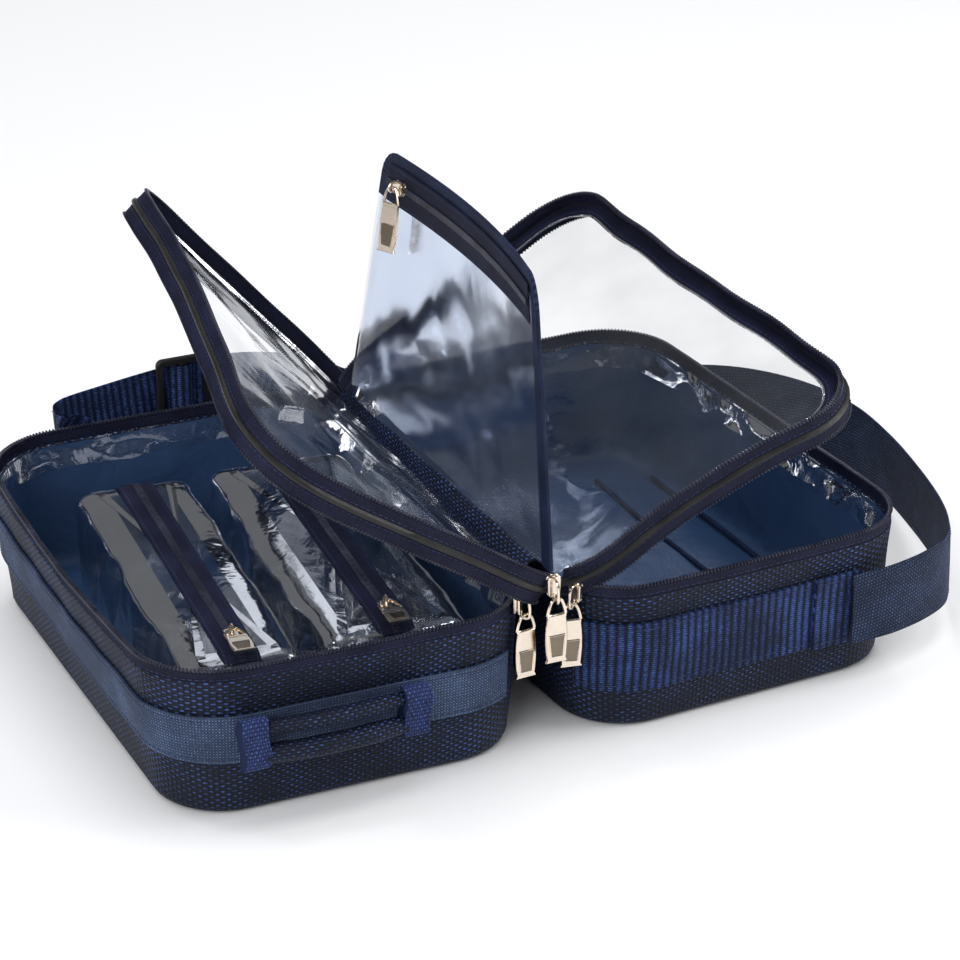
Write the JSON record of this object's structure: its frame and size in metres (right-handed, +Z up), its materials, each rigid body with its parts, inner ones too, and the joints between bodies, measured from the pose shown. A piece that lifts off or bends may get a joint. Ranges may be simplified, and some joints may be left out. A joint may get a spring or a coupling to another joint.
{
  "type": "travel jewelry case",
  "caption": "Soft travel jewelry case: trays folding at a fabric spine, clear zip pages and a pocket page between them, lift-out pouches, carry handle and shoulder strap.",
  "frame": {"origin": "middle of the left tray's flat underside", "axes": "+X across the spine from the left tray to the right tray, +Y along the left tray to its back, +Z up"},
  "size_m": [0.4856, 0.3361, 0.2405],
  "materials": {
    "ballistic_nylon": "coarse basket-weave nylon",
    "lining": "smooth coated lining",
    "zip_tape": "woven zip tape",
    "zip_teeth": "satin nylon coil",
    "binding": "ribbed grosgrain binding",
    "piping": "smooth piping",
    "clear_vinyl": "glossy clear vinyl",
    "pouch_vinyl": "glossy clear vinyl, filled form",
    "left_webbing": "woven webbing",
    "right_webbing": "ribbed webbing",
    "strap_weave": "woven webbing",
    "elastic_knit": "knitted elastic",
    "gold_metal": "polished pale gold plating",
    "black_plastic": "fine matt"
  },
  "bodies": {
    "left_tray": {"left_tray_shell": "ballistic_nylon", "left_tray_lining": "lining", "left_rim_zip_tape": "zip_tape", "left_rim_zip_teeth": "zip_teeth", "left_spine_edge_binding": "binding", "left_spine_gusset": "ballistic_nylon", "left_perimeter_webbing": "left_webbing", "left_rim_slider": "gold_metal", "middle_slider": "gold_metal", "handle_left_wrap": "elastic_knit", "handle_right_wrap": "elastic_knit", "shoulder_strap_left": "strap_weave"},
    "right_tray": {"right_tray_shell": "ballistic_nylon", "right_tray_lining": "lining", "right_rim_zip_tape": "zip_tape", "right_rim_zip_teeth": "zip_teeth", "right_spine_edge_binding": "binding", "right_spine_gusset": "ballistic_nylon", "right_front_webbing": "right_webbing", "strap_anchor_patch": "right_webbing", "right_lining_piping": "binding", "right_rim_slider": "gold_metal", "shoulder_strap_right": "strap_weave"},
    "left_page": {"left_page_piping": "piping", "left_page_upper_tape": "zip_tape", "left_page_lower_tape": "zip_tape", "left_page_upper_teeth": "zip_teeth", "left_page_lower_teeth": "zip_teeth", "left_page_edge_binding": "binding", "left_page_window": "clear_vinyl"},
    "right_page": {"right_page_piping": "piping", "right_page_upper_tape": "zip_tape", "right_page_lower_tape": "zip_tape", "right_page_upper_teeth": "zip_teeth", "right_page_lower_teeth": "zip_teeth", "right_page_edge_binding": "binding", "right_page_window": "clear_vinyl"},
    "pocket_page": {"pocket_edge_binding": "binding", "pocket_near_sheet": "clear_vinyl", "pocket_far_sheet": "clear_vinyl", "pocket_zip_tape": "zip_tape", "pocket_zip_teeth": "zip_teeth"},
    "pocket_slider": {"pocket_slider": "gold_metal"},
    "pocket_pull": {"pocket_pull": "gold_metal"},
    "left_rim_pull": {"left_rim_pull": "gold_metal"},
    "middle_pull": {"middle_pull": "gold_metal"},
    "right_rim_pull": {"right_rim_pull": "gold_metal"},
    "handle_grip": {"handle_upper_roll": "ballistic_nylon", "handle_lower_roll": "ballistic_nylon"},
    "pouch_1": {"pouch_1_body": "pouch_vinyl", "pouch_1_zip_tape": "zip_tape"},
    "pouch_1_slider": {"pouch_1_slider": "gold_metal"},
    "pouch_1_pull": {"pouch_1_pull": "gold_metal"},
    "pouch_2": {"pouch_2_body": "pouch_vinyl", "pouch_2_zip_tape": "zip_tape"},
    "pouch_2_slider": {"pouch_2_slider": "gold_metal"},
    "pouch_2_pull": {"pouch_2_pull": "gold_metal"},
    "strap_triglide": {"strap_triglide": "black_plastic"}
  },
  "joints": [
    {"name": "case_fold", "type": "hinge", "parent": "left_tray", "child": "right_tray", "pos_m": [0.10158, 0, 0.1], "axis": [0.0323, -0.9995, 0], "range_deg": [0, 180]},
    {"name": "left_page_turn", "type": "hinge", "parent": "left_tray", "child": "left_page", "pos_m": [0.0799, 0, 0.0605], "axis": [0, -1, 0], "range_deg": [0, 49.3]},
    {"name": "right_page_turn", "type": "hinge", "parent": "right_tray", "child": "right_page", "pos_m": [0.13025, -0.00346, 0.0627], "axis": [-0.0645, 0.9979, 0], "range_deg": [0, 31.1]},
    {"name": "pocket_page_turn", "type": "hinge", "parent": "left_tray", "child": "pocket_page", "pos_m": [0.0934, 0, 0.0913], "axis": [0, -1, 0], "range_deg": [0, 99.3]},
    {"name": "handle_lift", "type": "slide", "parent": "left_tray", "child": "handle_grip", "axis": [0, -1, 0], "range_m": [0, 0.02], "stiffness_N_per_m": 60},
    {"name": "left_rim_pull_swing", "type": "hinge", "parent": "left_tray", "child": "left_rim_pull", "pos_m": [0.09006, -0.13511, 0.0712], "axis": [-0.9962, -0.0872, 0], "range_deg": [-2, 75]},
    {"name": "middle_pull_swing", "type": "hinge", "parent": "left_tray", "child": "middle_pull", "pos_m": [0.103, -0.1423, 0.0802], "axis": [-1, 0, 0], "range_deg": [-2, 75]},
    {"name": "right_rim_pull_swing", "type": "hinge", "parent": "right_tray", "child": "right_rim_pull", "pos_m": [0.11594, -0.1319, 0.0697], "axis": [-0.9839, 0.1788, 0], "range_deg": [0, 20]},
    {"name": "pocket_slider_run", "type": "slide", "parent": "pocket_page", "child": "pocket_slider", "axis": [0.0162, -0.995, 0.099], "range_m": [0, 0.185]},
    {"name": "pocket_pull_swing", "type": "hinge", "parent": "pocket_slider", "child": "pocket_pull", "pos_m": [0.11305, 0.07812, 0.2076], "axis": [0.0162, -0.995, 0.099], "range_deg": [-80, 0]},
    {"name": "pouch_1_lift", "type": "slide", "parent": "left_tray", "child": "pouch_1", "axis": [0, 0, -1], "range_m": [-0.08, 0]},
    {"name": "pouch_2_lift", "type": "slide", "parent": "left_tray", "child": "pouch_2", "axis": [0, 0, -1], "range_m": [-0.03, 0]},
    {"name": "strap_triglide_run", "type": "slide", "parent": "left_tray", "child": "strap_triglide", "axis": [1, 0, 0], "range_m": [-0.01, 0.012]},
    {"name": "pouch_1_slider_run", "type": "slide", "parent": "pouch_1", "child": "pouch_1_slider", "axis": [0.0872, 0.9962, 0], "range_m": [0, 0.154]},
    {"name": "pouch_1_pull_lift", "type": "hinge", "parent": "pouch_1_slider", "child": "pouch_1_pull", "pos_m": [-0.04732, -0.10068, 0.0769], "axis": [0.9962, -0.0872, 0], "range_deg": [-100, 0]},
    {"name": "pouch_2_slider_run", "type": "slide", "parent": "pouch_2", "child": "pouch_2_slider", "axis": [0.0872, 0.9962, 0], "range_m": [0, 0.154]},
    {"name": "pouch_2_pull_lift", "type": "hinge", "parent": "pouch_2_slider", "child": "pouch_2_pull", "pos_m": [0.03068, -0.10368, 0.0769], "axis": [0.9962, -0.0872, 0], "range_deg": [-100, 0]}
  ],
  "couplings": [
    {"joint": "left_page_turn", "follows": "case_fold", "ratio": 0.27389},
    {"joint": "right_page_turn", "follows": "case_fold", "ratio": 0.17278},
    {"joint": "pocket_page_turn", "follows": "case_fold", "ratio": 0.55167}
  ]
}
